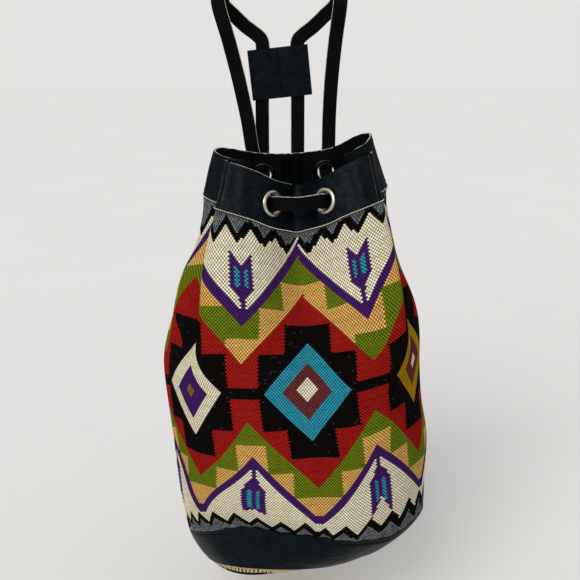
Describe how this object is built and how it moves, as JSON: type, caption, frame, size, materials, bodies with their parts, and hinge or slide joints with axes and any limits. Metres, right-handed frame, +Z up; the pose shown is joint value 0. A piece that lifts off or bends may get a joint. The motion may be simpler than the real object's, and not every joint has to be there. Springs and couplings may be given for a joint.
{
  "type": "sling backpack",
  "caption": "Drawstring sling backpack with a woven wool body in a geometric flat weave, a leather collar and base, flat leather straps and a strap slider, hung by its strap loops.",
  "frame": {"origin": "middle of the line between the tops of the inner faces of the two strap loops, where a bar or pegs carry the bag", "axes": "+Z up along the hang, front of the bag towards -Y, +X to the bag's right in the front view"},
  "size_m": [0.2971, 0.2564, 0.6563],
  "materials": {
    "woven_wool": "coarse flat weave in several colours",
    "woven_bottom": "coarse flat weave, tan and black",
    "leather": "semi-gloss navy black",
    "nickel": "polished nickel plate"
  },
  "bodies": {
    "bag": {"woven_front_panel": "woven_wool", "woven_back_panel": "woven_wool", "collar_front": "leather", "collar_back": "leather", "base_band": "leather", "base_panel": "woven_bottom", "strap_left": "leather", "strap_right": "leather", "drawstring_front": "leather", "eyelet_front_left": "nickel", "eyelet_front_right": "nickel", "eyelet_rear_left": "nickel", "eyelet_rear_right": "nickel", "washer_front_left": "nickel", "washer_front_right": "nickel", "washer_rear_left": "nickel", "washer_rear_right": "nickel"},
    "slider": {"strap_slider": "leather"}
  },
  "joints": [
    {"name": "slider_slide", "type": "slide", "parent": "bag", "child": "slider", "axis": [0, 0, -1], "range_m": [0, 0.045]}
  ]
}
